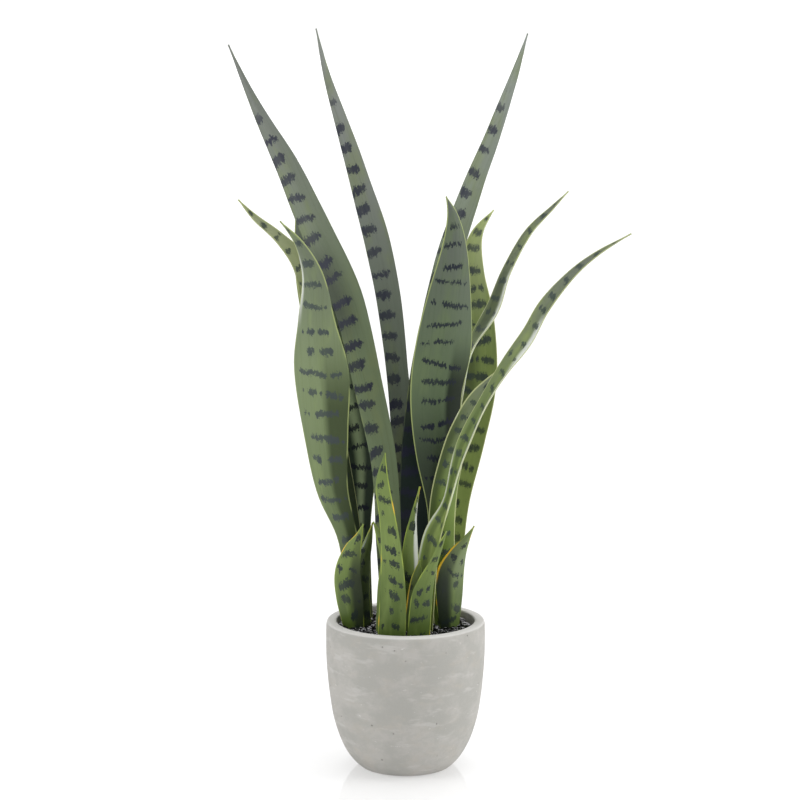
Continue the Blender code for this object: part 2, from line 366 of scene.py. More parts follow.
def paint(red: int, green: int, blue: int) -> Colour:
    """A colour given as it looks on a screen.

    Args:
        red: Its red, 0 to 255.
        green: Its green, 0 to 255.
        blue: Its blue, 0 to 255.

    Returns:
        The colour as light, which the shader takes.
    """
    parts = (value / 255 for value in (red, green, blue))
    return tuple(((part + 0.055) / 1.055) ** 2.4 if part > 0.04 else part / 12.92 for part in parts)


@dataclass(frozen=True)
class Streak:
    """A soft lengthwise band of another colour on a leaf: a painted shaded half, a painted sheen along a
    fold or margin, or an amber margin.

    Middle and reach run across, from margin -1 to margin 1. Low, high and fade are metres up the leaf.
    """

    colour: Colour
    middle: float
    reach: float
    low: float
    high: float
    share: float = 0.9
    soft: float = 0.3
    fade: float = 0.06

    def over(self, b: Bench, across: Wire, along: Wire, colour: Any) -> Any:
        """Lay the band over a colour.

        Args:
            b: The material's bench.
            across: How far across the leaf, from -1 to 1.
            along: Metres up the leaf.
            colour: The colour underneath.

        Returns:
            The colour with the band on it.
        """
        mask = 1.0 - abs(across - self.middle).step(self.reach - self.soft, self.reach + self.soft)
        mask = mask * along.step(self.low, self.low + self.fade)
        mask = mask * (1.0 - along.step(self.high - self.fade, self.high))
        return b.mix(mask * self.share, colour, self.colour)


@dataclass(frozen=True)
class LeafFinish:
    """Waxy leaf skin: green paling to grey at the tip, crossed by rows of dark ragged strokes, with painted
    shade and painted highlights laid on as streaks.

    Lengths are in metres, and the span runs across from margin -1 to margin 1.
    """

    green: Colour = paint(107, 121, 86)
    # The foot colour: partly the leaf's own darker green, partly painted shade low among the leaves.
    foot: Colour = paint(72, 90, 42)
    tip: Colour = paint(98, 106, 92)
    patch: Colour = paint(118, 132, 84)
    stroke: Colour = paint(52, 62, 64)
    margin: Colour = paint(160, 172, 108)
    flush: Colour = paint(166, 178, 112)
    margin_width: float = 0.0006
    margin_share: float = 0.75
    margin_breaks: float = 0.38
    foot_reach: float = 0.30
    tip_reach: float = 0.20
    row_pitch: float = 0.0185
    row_waver: float = 0.007
    stroke_height: float = 0.0042
    stroke_blur: float = 0.0008
    stroke_share: float = 0.9
    slant: float = 0.35
    tooth: float = 0.0036
    tooth_height: float = 0.0020
    ragged: float = 0.0080
    gaps: float = 0.42
    span: tuple[float, float] = (-0.88, 0.88)
    span_spread: float = 0.35
    taper: float = 0.08
    bare_tip: float = 0.012
    # Lengthwise bands: painted shade and painted highlights, and amber margins.
    streaks: tuple[Streak, ...] = ()
    roughness: float = 0.38
    gloss: float = 0.35
    relief: float = 0.0006

    def material(self, name: str, seed: float) -> bpy.types.Material:
        """The skin of one leaf, read from the sizes stored on its mesh.

        Args:
            name: The material's name.
            seed: Where this leaf's pattern is taken from.

        Returns:
            The leaf material.
        """
        b = Bench(name)
        out, along, across = b.attribute("out"), b.attribute("along"), b.attribute("across")
        edge, left = b.attribute("from_margin"), b.attribute("to_tip")
        colour = self._ground(b, out, along, left, seed)
        # Lay on the streaks: painted shade, painted highlights and amber margin bands.
        for streak in self.streaks:
            colour = streak.over(b, across, along, colour)
        strokes = self._strokes(b, out, along, across, seed) * left.step(self.bare_tip * 0.6, self.bare_tip)
        colour = b.mix(strokes * self.stroke_share, colour, self.stroke)
        wear = b.noise(b.vector(across * 1.3, along * 24.0, seed + 60.0))
        rim = 1.0 - edge.step(self.margin_width * 0.6, self.margin_width * 1.4)
        rim = rim * wear.step(self.margin_breaks, self.margin_breaks + 0.12) * self.margin_share
        colour = b.mix(rim, colour, b.mix(wear.step(0.62, 0.70), self.margin, self.flush))
        fine_lines = b.noise(b.vector(out * 1500.0, along * 40.0, seed), roughness=0.6)
        ripple = b.noise(b.vector(out * 60.0, along * 130.0, seed + 9.0), detail=1.0)
        b.bump(fine_lines * 0.35 + ripple * 0.65, strength=0.30, distance=self.relief)
        roughness = self.roughness + fine_lines * 0.12
        return b.finish(base_color=colour, roughness=roughness, specular_ior_level=self.gloss)

    def _ground(self, b: Bench, out: Wire, along: Wire, left: Wire, seed: float) -> Any:
        """The green under the strokes: foot, blade and tip, streaked lengthwise and patched.

        Args:
            b: The material's bench.
            out: Metres from the midrib.
            along: Metres up the leaf.
            left: Metres left to the tip.
            seed: The leaf's own place in the noise.

        Returns:
            The colour.
        """
        cloud = b.noise(b.vector(out * 45.0, along * 14.0, seed + 3.0), detail=3.0, roughness=0.6)
        streak = b.noise(b.vector(out * 420.0, along * 9.0, seed + 5.0), roughness=0.6)
        # Towards the foot the green turns to the foot colour: partly the leaf's own colour, partly painted
        # shade low among the leaves, and on the broad lime leaf painted light.
        low = 1.0 - along.step(0.02, self.foot_reach)
        colour = b.mix(low * (0.7 + cloud * 0.4), self.green, self.foot)
        colour = b.mix((1.0 - left.step(0.0, self.tip_reach)) * 0.85, colour, self.tip)
        colour = b.mix(cloud.step(0.46, 0.68) * 0.55, colour, self.patch)
        return b.mix(streak.step(0.45, 0.75) * 0.20, colour, self.foot)

    def _strokes(self, b: Bench, out: Wire, along: Wire, across: Wire, seed: float) -> Wire:
        """The mask of the dark strokes: ragged dashes in rows across the leaf.

        Args:
            b: The material's bench.
            out: Metres from the midrib.
            along: Metres up the leaf.
            across: How far across the leaf, from -1 to 1.
            seed: The leaf's own place in the noise.

        Returns:
            A mask from 0 to 1.
        """
        drift = b.noise(b.vector(out * 55.0, along * 30.0, seed), detail=1.0)
        rows = (along + (drift - 0.5) * self.row_waver) / self.row_pitch + seed
        row = rows.floor()
        lot, second, third = b.chance(row), b.chance(row + 57.3), b.chance(row + 113.9)
        wander = b.noise(b.vector(out * 300.0, row * 5.3, seed), detail=1.0)
        teeth = (out + (lot + wander) * 0.01).swing(self.tooth / 2) * (self.tooth_height / self.tooth * 2)
        jag = b.noise(b.vector(out * 560.0, along * 400.0, seed), roughness=0.7)
        swell = b.noise(b.vector(out * 170.0, row * 3.7, seed + 21.0), detail=1.0)
        breaks = b.noise(b.vector(out * 125.0, row * 11.1, seed + 40.0), detail=1.0)
        low, high = self.span[0] + second * self.span_spread, self.span[1] - third * self.span_spread
        inside = across.step(low - self.taper, low + self.taper)
        inside = inside * (1.0 - across.step(high - self.taper, high + self.taper))
        inside = inside * breaks.step(self.gaps - 0.05, self.gaps + 0.08)
        line = (rows - row - 0.5 + (lot - 0.5) * 0.25) * self.row_pitch + out * (second - 0.5) * self.slant
        line = abs(line + teeth - self.tooth_height / 2)
        half = self.stroke_height / 2 * (0.3 + swell + third * 0.5) * inside
        half = half + (jag - 0.5) * self.ragged
        mask = 1.0 - line.step(half - self.stroke_blur, half + self.stroke_blur)
        return mask * inside.step(0.05, 0.35) * (0.72 + swell * 0.35 + lot * 0.1)


# ---- pieces ----
def eased(values: tuple[float, ...], span: int, part: float) -> float:
    """A value part of the way along one span of a list, on a smooth curve through them all.

    Args:
        values: The list.
        span: The span's number.
        part: How far along it, from 0 to 1.

    Returns:
        The value there.
    """
    here, there = values[span], values[span + 1]
    before, after = values[max(span - 1, 0)], values[min(span + 2, len(values) - 1)]
    return 0.5 * (
        2 * here
        + (there - before) * part
        + (2 * before - 5 * here + 4 * there - after) * part ** 2
        + (3 * here - before - 3 * there + after) * part ** 3
    )


def make_piece(
    name: str,
    points: list[Vector],
    faces: list[tuple[int, ...]],
    sizes: dict[str, list[float]] | None = None,
) -> bpy.types.Object:
    """A smooth mesh object at the origin, with numbers stored on its points.

    Args:
        name: The object's name.
        points: Its points, in metres.
        faces: Its faces, as point numbers.
        sizes: The numbers to store, one for each point, by attribute name.

    Returns:
        The object, in the scene.
    """
    mesh = bpy.data.meshes.new(name)
    mesh.from_pydata([tuple(point) for point in points], [], faces)
    for key, values in (sizes or {}).items():
        mesh.attributes.new(key, "FLOAT", "POINT").data.foreach_set("value", values)
    mesh.shade_smooth()
    mesh.validate()
    piece = bpy.data.objects.new(name, mesh)
    bpy.context.scene.collection.objects.link(piece)
    return piece


@dataclass
class Leaf:
    """One sword leaf, from its foot in the soil up to its awl tip."""

    name: str
    kind: LeafKind
    hollow: float
    stations: tuple[Station, ...]
    finish: LeafFinish
    seed: float
    foot_height: float = 0.1105
    steps: int = 8
    thickness: float = 0.0026
    margin_thickness: float = 0.0011
    tip_thickness: float = 0.0009
    tip_width: float = 0.0012
    full_thickness_width: float = 0.018
    margin_round: float = 0.0003
    wave: float = 0.0007
    waves_per_metre: float = 26.0
    calm_foot: float = 0.05
    calm_tip: float = 0.06
    foot_fold: float = 1.15
    blade_fold: float = 1.6
    fold_reach: float = 0.14
    columns: tuple[float, ...] = (
        -1.0, -0.965, -0.89, -0.78, -0.64, -0.48, -0.32, -0.16, 0.0, 0.16, 0.32, 0.48, 0.64, 0.78, 0.89,
        0.965, 1.0,
    )

    def _sections(self) -> list[Section]:
        """The cuts across the leaf, from the bottom of its foot to its tip."""
        columns = list(zip(*self.stations))
        last = len(self.stations) - 2
        stops = [(span, step / self.steps) for span in range(last + 1) for step in range(self.steps)]
        stops.append((last, 1.0))
        rows = [[eased(column, span, part) for column in columns] for span, part in stops]
        centres = [Vector(row[:3]) * MM for row in rows]
        upright = Vector((0.0, 0.0, 1.0))
        foot = Vector((centres[0].x, centres[0].y, self.foot_height))
        first = (rows[0][3] * MM, math.radians(rows[0][4]))
        sections = [(foot, upright, *first, foot.z - centres[0].z), (centres[0], upright, *first, 0.0)]
        travelled = 0.0
        for at in range(1, len(rows)):
            travelled += (centres[at] - centres[at - 1]).length
            along = (centres[min(at + 1, len(rows) - 1)] - centres[at - 1]).normalized()
            width = max(rows[at][3] * MM, self.tip_width)
            sections.append((centres[at], along, width, math.radians(rows[at][4]), travelled))
        return sections

    def _ring(self, section: Section, left: float) -> list[tuple[Vector, float, float]]:
        """The outline of the leaf cut across: its hollow face, a margin, its back and the other margin.

        Args:
            section: The cross-section.
            left: Metres left to the tip.

        Returns:
            Each point with how far across it is, from -1 to 1, and its metres from the midrib.
        """
        centre, along, width, facing, travelled = section
        look = Vector((math.sin(facing), -math.cos(facing), 0.0))
        look = (look - along * look.dot(along)).normalized()
        side = along.cross(look)
        half_width = width / 2
        full = min(1.0, width / self.full_thickness_width)
        thick = self.tip_thickness + (self.thickness - self.tip_thickness) * full
        rim = min(self.margin_thickness, thick)
        rise = min(1.0, max(0.0, travelled) / self.fold_reach)
        fold = self.foot_fold + (self.blade_fold - self.foot_fold) * rise
        calm = min(1.0, max(0.0, travelled) / self.calm_foot) * min(1.0, left / self.calm_tip)
        spots = [Vector((travelled * self.waves_per_metre, end, self.seed)) for end in (-4.0, 4.0)]
        sways = [self.wave * calm * noise.noise(spot) for spot in spots]
        face, back = [], []
        for across in self.columns:
            sway = sways[across >= 0]
            lift = self.hollow * half_width * abs(across) ** fold + sway * across * across
            place = centre + side * across * half_width + look * lift
            half = (rim + (thick - rim) * (1 - across ** 2)) / 2
            face.append((place + look * half, across, across * half_width))
            back.append((place - look * half, across, across * half_width))
        edges = []
        for end, sway in zip((-1.0, 1.0), sways):
            out = end * (half_width + self.margin_round)
            lift = self.hollow * half_width + sway
            edges.append((centre + side * out + look * lift, end, end * half_width))
        return face + [edges[1]] + back[::-1] + [edges[0]]

    def build(self) -> bpy.types.Object:
        """Loft the leaf, store its sizes on the mesh, and give it its skin.

        Returns:
            The leaf's object.
        """
        sections = self._sections()
        length = sections[-1][4]
        rings = [self._ring(section, length - section[4]) for section in sections]
        count = len(rings[0])
        faces = [
            (low + at, low + (at + 1) % count, low + count + (at + 1) % count, low + count + at)
            for low in range(0, (len(rings) - 1) * count, count)
            for at in range(count)
        ]
        width = len(self.columns)
        for low, turn in ((0, -1), ((len(rings) - 1) * count, 1)):
            across = [
                (low + at, low + at + 1, low + 2 * width - 1 - at, low + 2 * width - at)
                for at in range(width - 1)
            ]
            ends = [(low + width - 1, low + width, low + width + 1)]
            ends.append((low + 2 * width, low + 2 * width + 1, low))
            faces += [face[::turn] for face in across + ends]
        points = [point for ring in rings for point, _, _ in ring]
        sizes = {
            "across": [across for ring in rings for _, across, _ in ring],
            "out": [out for ring in rings for _, _, out in ring],
            "along": [section[4] for section in sections for _ in range(count)],
            "from_margin": [
                section[2] / 2 - abs(out) for section, ring in zip(sections, rings) for _, _, out in ring
            ],
            "to_tip": [length - section[4] for section in sections for _ in range(count)],
        }
        piece = make_piece(f"{self.name}_blade", points, faces, sizes)
        piece.data.materials.append(self.finish.material(self.name + "_skin", self.seed))
        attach(piece, "root")
        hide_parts(self.name)
        return piece


@dataclass
class Pot:
    """The round cement pot, cast in one piece, with a softened rim and a slightly uneven skin."""

    height: float = 0.150
    radius: float = 0.080
    foot_radius: float = 0.042
    wall: float = 0.0105
    floor: float = 0.013
    sides: int = 160
    finish: CementFinish = field(default_factory=CementFinish)
    # Outside, from foot to rim: share of the way from foot radius to full radius, share of the height.
    shape: tuple[tuple[float, float], ...] = (
        (0.0, 0.0), (0.07, 0.0035), (0.13, 0.012), (0.27, 0.045), (0.42, 0.093), (0.58, 0.167),
        (0.71, 0.253), (0.83, 0.367), (0.91, 0.5), (0.96, 0.633), (0.99, 0.767), (1.0, 0.88),
        (0.999, 0.955), (0.99, 0.982), (0.968, 0.996), (0.93, 1.0),
    )
    # The inner lip, counted in lip_round: out from the inner wall, down from the rim.
    lip: tuple[tuple[float, float], ...] = (
        (2.4, -0.1), (1.0, 0.0), (0.62, 0.08), (0.3, 0.3), (0.08, 0.62), (0.0, 1.0), (0.0, 2.4),
    )
    lip_round: float = 0.0013
    curve_steps: int = 4
    wall_steps: int = 12
    wall_top: float = 0.97
    dent: float = 0.00045
    dent_scale: float = 1.6
    ripple: float = 0.0001
    ripple_scale: float = 6.0
    upward_scale: float = 14.0
    even_foot: float = 0.02

    def _outside(self) -> list[tuple[float, float]]:
        """The outside as (radius, height), on a smooth curve from foot to rim."""
        reach = self.radius - self.foot_radius
        radii = tuple(self.foot_radius + out * reach for out, _ in self.shape)
        heights = tuple(up * self.height for _, up in self.shape)
        steps = range(self.curve_steps)
        spans = [(span, step / self.curve_steps) for span in range(len(radii) - 1) for step in steps]
        line = [(eased(radii, *stop), eased(heights, *stop)) for stop in spans]
        return line + [(radii[-1], heights[-1])]

    def _inside(self) -> list[tuple[float, float]]:
        """The inside as (radius, height), from the rim down to the edge of its floor."""
        rim = self.radius - self.wall
        line = [(rim + out * self.lip_round, self.height - down * self.lip_round) for out, down in self.lip]
        outside = self._outside()
        top = self.height * self.wall_top
        for step in range(1, self.wall_steps + 1):
            height = top + (self.floor - top) * step / self.wall_steps
            near = min(outside, key=lambda point: abs(point[1] - height))
            line.append((min(near[0] - self.wall, rim), height))
        return line

    def build(self) -> bpy.types.Object:
        """Turn the profile round Z and dress it.

        Returns:
            The pot's object.
        """
        line = self._outside() + self._inside()
        points = [Vector((0.0, 0.0, 0.0))]
        for radius, height in line:
            for side in range(self.sides):
                angle = math.tau * side / self.sides
                spot = Vector((math.cos(angle), math.sin(angle), height * self.upward_scale))
                dent = noise.noise(spot * self.dent_scale) * self.dent
                dent += noise.noise(spot * self.ripple_scale) * self.ripple
                dent *= min(1.0, height / self.even_foot)
                points.append(Vector(((radius + dent) * spot.x, (radius + dent) * spot.y, height)))
        points.append(Vector((0.0, 0.0, self.floor)))
        last, top = len(points) - 1, len(points) - 1 - self.sides
        faces = []
        for side in range(self.sides):
            after = (side + 1) % self.sides
            faces.append((0, 1 + after, 1 + side))
            faces.append((last, top + side, top + after))
            for low in range(1, top, self.sides):
                high = low + self.sides
                faces.append((low + side, low + after, high + after, high + side))
        piece = make_piece("pot_shell", points, faces)
        piece.data.materials.append(self.finish.material())
        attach(piece, "root")
        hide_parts("pot")
        return piece


@dataclass
class GravelBed:
    """Loose glossy pebbles lying on the solid bed, clear of the feet of the leaves."""

    leaves: list[Leaf]
    radius: float = 0.0650
    height: float = 0.1428
    cell: float = 0.0014
    foot_gap: float = 0.0047
    pebble: float = 0.0070
    spacing: float = 0.0078
    crowding: float = 90000.0
    rounding: int = 2
    tilt: float = 0.35
    smallest: Place = (0.70, 0.50, 0.36)
    largest: Place = (1.12, 0.85, 0.55)
    lump: float = 0.0007
    lumps_per_metre: float = 190.0
    seed: int = 11
    finish: GravelFinish = field(default_factory=GravelFinish)

    def _near_foot(self, x: float, y: float) -> bool:
        """Whether a spot is too close to a leaf's foot for a pebble.

        Args:
            x: The spot's X.
            y: The spot's Y.

        Returns:
            True if it is.
        """
        for leaf in self.leaves:
            foot_x, foot_y, _, width, facing = leaf.stations[0]
            turn = math.radians(facing)
            dx, dy = x - foot_x * MM, y - foot_y * MM
            across = abs(dx * math.cos(turn) + dy * math.sin(turn)) - width * MM / 2
            depth = abs(-dx * math.sin(turn) + dy * math.cos(turn)) - leaf.thickness
            if math.hypot(max(across, 0.0), max(depth, 0.0)) < self.foot_gap:
                return True
        return False

    def _ground(self) -> bpy.types.Object:
        """The patch of bed that pebbles may lie on, as small squares."""
        points, faces = [], []
        reach = int(self.radius / self.cell)
        for column in range(-reach, reach + 1):
            for row in range(-reach, reach + 1):
                x, y = column * self.cell, row * self.cell
                if math.hypot(x, y) > self.radius or self._near_foot(x, y):
                    continue
                start, half = len(points), self.cell / 2
                for dx, dy in ((-half, -half), (half, -half), (half, half), (-half, half)):
                    points.append(Vector((x + dx, y + dy, self.height)))
                faces.append((start, start + 1, start + 2, start + 3))
        return make_piece("gravel_ground", points, faces)

    def _tree(self, material: bpy.types.Material) -> bpy.types.NodeTree:
        """The node tree that scatters pebbles over a patch of ground.

        Args:
            material: The gravel.

        Returns:
            The tree, with its sizes as named inputs.
        """
        tree = bpy.data.node_groups.new("pebble_scatter", "GeometryNodeTree")
        tree.interface.new_socket("Ground", in_out="INPUT", socket_type="NodeSocketGeometry")
        for name in ("Pebble Size", "Spacing"):
            tree.interface.new_socket(name, in_out="INPUT", socket_type="NodeSocketFloat")
        tree.interface.new_socket("Seed", in_out="INPUT", socket_type="NodeSocketInt")
        tree.interface.new_socket("Pebbles", in_out="OUTPUT", socket_type="NodeSocketGeometry")
        add = tree.nodes.new
        entry, result = add("NodeGroupInput"), add("NodeGroupOutput")
        scatter = add("GeometryNodeDistributePointsOnFaces")
        scatter.distribute_method = "POISSON"
        scatter.inputs["Density Max"].default_value = self.crowding
        pebble, place = add("GeometryNodeMeshIcoSphere"), add("GeometryNodeInstanceOnPoints")
        pebble.inputs["Subdivisions"].default_value = self.rounding
        turn, stretch = add("FunctionNodeRandomValue"), add("FunctionNodeRandomValue")
        ranges = (
            (turn, (-self.tilt, -self.tilt, 0.0), (self.tilt, self.tilt, math.tau)),
            (stretch, self.smallest, self.largest),
        )
        for node, low, high in ranges:
            node.data_type = "FLOAT_VECTOR"
            node.inputs[0].default_value, node.inputs[1].default_value = low, high
        whole, dress = add("GeometryNodeRealizeInstances"), add("GeometryNodeSetMaterial")
        dress.inputs["Material"].default_value = material
        links = (
            (entry, "Ground", scatter, "Mesh"), (entry, "Spacing", scatter, "Distance Min"),
            (entry, "Seed", scatter, "Seed"), (entry, "Pebble Size", pebble, "Radius"),
            (entry, "Seed", turn, "Seed"), (entry, "Seed", stretch, "Seed"),
            (scatter, "Points", place, "Points"), (pebble, "Mesh", place, "Instance"),
            (turn, 0, place, "Rotation"), (stretch, 0, place, "Scale"),
            (place, "Instances", whole, "Geometry"), (whole, "Geometry", dress, "Geometry"),
            (dress, "Geometry", result, "Pebbles"),
        )
        for source, given, target, taken in links:
            tree.links.new(source.outputs[given], target.inputs[taken])
        return tree

    def build(self) -> bpy.types.Object:
        """Scatter the pebbles, roughen each one, and dress them.

        Returns:
            The pebbles' object.
        """
        ground = self._ground()
        material = self.finish.material()
        modifier = ground.modifiers.new("pebbles", "NODES")
        modifier.node_group = self._tree(material)
        values = {"Pebble Size": self.pebble, "Spacing": self.spacing, "Seed": self.seed}
        for item in modifier.node_group.interface.items_tree:
            if item.in_out == "INPUT" and item.name in values:
                modifier[item.identifier] = values[item.name]
        graph = bpy.context.evaluated_depsgraph_get()
        mesh = bpy.data.meshes.new_from_object(ground.evaluated_get(graph))
        bpy.data.objects.remove(ground)
        noise.seed_set(self.seed)
        for point in mesh.vertices:
            point.co += noise.noise_vector(point.co * self.lumps_per_metre) * self.lump
        mesh.shade_smooth()
        mesh.name = "gravel_pebbles"
        piece = bpy.data.objects.new("gravel_pebbles", mesh)
        bpy.context.scene.collection.objects.link(piece)
        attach(piece, "root")
        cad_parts["gravel_bed"].data.materials.clear()
        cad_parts["gravel_bed"].data.materials.append(material)
        return piece


@dataclass
class Studio:
    """A plain white studio: pale glossy floor, soft boxes all round, and the camera."""

    floor_side: float = 240.0
    floor: Colour = (0.60, 0.60, 0.60)
    glow: Colour = (1.0, 1.0, 1.0)
    floor_glow: float = 0.34
    floor_roughness: float = 0.03
    horizon: float = 1.12
    zenith: float = 0.50
    # The sky dims from the horizon's strength to the zenith's between these two heights.
    dims_from: float = 0.15
    dims_to: float = 0.65
    camera_place: Place = (-0.0056, -2.4, 0.726)
    camera_tilt: float = 81.63
    lens: float = 109.94
    sensor: float = 36.0
    # Each soft box: name, place, aimed at, side in metres, watts.
    boxes: tuple[tuple[str, Place, Place, float, float], ...] = (
        ("key", (-2.0, -0.9, 1.7), (0.0, 0.0, 0.35), 1.2, 20.0),
        ("fill", (2.3, -0.3, 1.3), (0.0, 0.0, 0.30), 1.4, 30.0),
        ("top", (0.1, 0.2, 2.6), (0.0, 0.0, 0.3), 1.8, 27.0),
        ("back", (0.6, 2.2, 1.6), (0.0, 0.0, 0.4), 1.4, 8.0),
    )

    def _floor(self) -> None:
        """Lay the floor."""
        half = self.floor_side / 2
        corners = ((-half, -half), (half, -half), (half, half), (-half, half))
        piece = make_piece("studio_floor", [Vector((x, y, 0.0)) for x, y in corners], [(0, 1, 2, 3)])
        b = Bench("studio_floor")
        look = {"base_color": self.floor, "roughness": self.floor_roughness, "emission_color": self.glow}
        piece.data.materials.append(b.finish(**look, emission_strength=self.floor_glow))

    def build(self) -> None:
        """Set up the floor, sky, lights and camera."""
        self._floor()
        world = bpy.data.worlds.new("studio_sky")
        world.use_nodes = True
        nodes, links = world.node_tree.nodes, world.node_tree.links
        way, parts = nodes.new("ShaderNodeTexCoord"), nodes.new("ShaderNodeSeparateXYZ")
        fade = nodes.new("ShaderNodeMapRange")
        for number, value in enumerate((self.dims_from, self.dims_to, self.horizon, self.zenith), 1):
            fade.inputs[number].default_value = value
        links.new(way.outputs["Generated"], parts.inputs[0])
        links.new(parts.outputs[2], fade.inputs[0])
        links.new(fade.outputs[0], nodes["Background"].inputs[1])
        nodes["Background"].inputs[0].default_value = (1.0, 1.0, 1.0, 1.0)
        scene = bpy.context.scene
        scene.world = world
        for name, place, aim, side, power in self.boxes:
            light = bpy.data.lights.new(name, "AREA")
            light.size, light.energy = side, power
            lamp = bpy.data.objects.new(name, light)
            lamp.location = place
            lamp.rotation_euler = (Vector(aim) - Vector(place)).to_track_quat("-Z", "Y").to_euler()
            scene.collection.objects.link(lamp)
        lens = bpy.data.cameras.new("camera")
        lens.lens, lens.sensor_width = self.lens, self.sensor
        camera = bpy.data.objects.new("camera", lens)
        camera.location = self.camera_place
        camera.rotation_euler = (math.radians(self.camera_tilt), 0.0, 0.0)
        scene.collection.objects.link(camera)
        scene.camera = camera
        scene.view_settings.view_transform = "Standard"


# Painted deep shade, for the lower part of a leaf hidden among the others.
PAINTED_DEEP_SHADE = paint(20, 34, 33)
# Painted sheen: the pale glancing reflection on curled or twisted parts of a leaf.
PAINTED_SHEEN = paint(214, 218, 212)
AMBER = paint(242, 194, 46)

GREY_BLADE = LeafFinish(
    green=paint(104, 118, 88), foot=paint(70, 84, 50), tip=paint(112, 114, 113), patch=paint(114, 125, 86),
    stroke=paint(34, 36, 55), margin=paint(104, 116, 88), margin_share=0.3, stroke_height=0.0080,
    stroke_blur=0.0014, tooth=0.0064, tooth_height=0.0018, ragged=0.0130, gaps=0.16, taper=0.26,
    span=(-1.25, 0.40), foot_reach=0.20, tip_reach=0.36, row_pitch=0.0220, bare_tip=0.085,
    roughness=0.50, gloss=0.20,
)
# Painted shadow: a dark band across the middle of the tall left leaf, where the front leaf shades it.
GREY_BLADE_PAINTED_SHADOW = replace(
    GREY_BLADE, streaks=(Streak(paint(44, 50, 42), -0.8, 1.0, 0.27, 0.42, 0.75, 0.8, 0.06),)
)
REAR_GREY_BLADE = replace(
    GREY_BLADE, green=paint(97, 106, 92), foot=paint(72, 82, 62), tip=paint(132, 135, 132)
)
# Painted deep shade over the lower part of the tall right leaf.
SHADED_GREY_BLADE = replace(
    GREY_BLADE, tip=paint(132, 137, 134), streaks=(Streak(PAINTED_DEEP_SHADE, 0.0, 2.0, -0.5, 0.32, 0.96, fade=0.14),)
)
SAGE_BLADE = LeafFinish(
    green=paint(118, 133, 94), patch=paint(126, 142, 92), stroke=paint(50, 60, 64), stroke_height=0.0062,
    stroke_blur=0.0011, tooth_height=0.0016, ragged=0.0110, row_pitch=0.0222, gaps=0.42, streaks=(
        # Painted shade over the margin -1 half of the lower leaf, and a painted sheen along the curled
        # margin 1 near the top.
        Streak(paint(50, 64, 28), -0.9, 0.70, -0.4, 0.31, 0.95, 0.16, 0.09),
        Streak(PAINTED_SHEEN, 1.0, 0.18, 0.30, 0.41, 0.85, 0.1, 0.05),
    ),
)
DARK_BLADE = LeafFinish(
    green=paint(88, 103, 76), foot=paint(64, 80, 54), tip=paint(92, 97, 92), patch=paint(98, 114, 78),
    stroke=paint(16, 23, 38), stroke_height=0.0044, tooth_height=0.0028, ragged=0.0085, margin_breaks=0.2,
    row_pitch=0.0200, gaps=0.38, stroke_share=0.96, bare_tip=0.035, streaks=(
        # Painted shade over the lower leaf, and deeper painted shade on its margin -1 half.
        Streak(paint(36, 46, 36), 0.0, 2.0, -0.5, 0.25, 0.75, fade=0.09),
        Streak(paint(14, 28, 10), -0.85, 0.55, -0.4, 0.305, 0.97, 0.12, 0.06),
    ), roughness=0.45, gloss=0.22,
)
BACK_BLADE = replace(
    DARK_BLADE, streaks=(
        # Painted shade over the lower leaf, and a painted highlight along the midrib.
        Streak(paint(34, 48, 38), 0.0, 2.0, -0.4, 0.34, 0.8, fade=0.12),
        Streak(paint(172, 190, 146), 0.1, 0.22, -0.1, 0.32, 0.72, 0.2),
    ),
)
LIME_BLADE = LeafFinish(
    green=paint(124, 139, 80), foot=paint(112, 132, 58), tip=paint(112, 118, 104),
    patch=paint(134, 149, 84), stroke=paint(50, 62, 58), margin=paint(184, 190, 136),
    flush=paint(206, 210, 176), foot_reach=0.20, stroke_height=0.0054, stroke_blur=0.0013,
    tooth_height=0.0012, ragged=0.0110, margin_breaks=0.25, roughness=0.44, gloss=0.24,
)
ARCHED_LIME_BLADE = replace(
    LIME_BLADE, green=paint(140, 152, 90), tip=paint(150, 156, 128), streaks=(
        # Painted shade over the lower part of the leaf, between the leaves around it.
        Streak(paint(38, 52, 38), 0.0, 2.0, -0.5, 0.27, 0.9),
    ),
)
BROAD_LIME_BLADE = replace(
    # The pale foot colour is painted light, lifting the foot where the other leaves shade it.
    LIME_BLADE, green=paint(122, 138, 82), foot=paint(166, 184, 108), tip=paint(158, 168, 120),
    foot_reach=0.34, patch=paint(130, 146, 78), stroke=paint(46, 56, 60), stroke_height=0.0072,
    stroke_blur=0.0020, tip_reach=0.16, gaps=0.36, streaks=(
        Streak(paint(58, 70, 40), -0.6, 0.6, 0.16, 0.32, 0.7),
    ),
)
SHORT_LIME_BLADE = replace(
    LIME_BLADE, green=paint(106, 127, 56), foot=paint(98, 120, 48), patch=paint(116, 137, 62), streaks=(
        # Painted shadow along margin 1, next to the front right leaf.
        Streak(paint(48, 62, 26), 0.95, 0.5, 0.02, 0.25, 0.8, 0.3, 0.05),
    ),
)
TWISTED_BLADE = replace(
    LIME_BLADE, green=paint(112, 131, 64), tip=paint(94, 97, 95), tip_reach=0.34, streaks=(
        # Painted sheen along margin 1 of the twisted part.
        Streak(PAINTED_SHEEN, 1.0, 0.24, 0.20, 0.34, 0.85, 0.12, 0.04),
        Streak(PAINTED_SHEEN, 1.0, 0.45, 0.29, 0.385, 0.85, 0.3, 0.035),
        Streak(paint(56, 66, 52), -0.2, 0.5, 0.28, 0.38, 0.6, 0.2, 0.03),
    ),
)
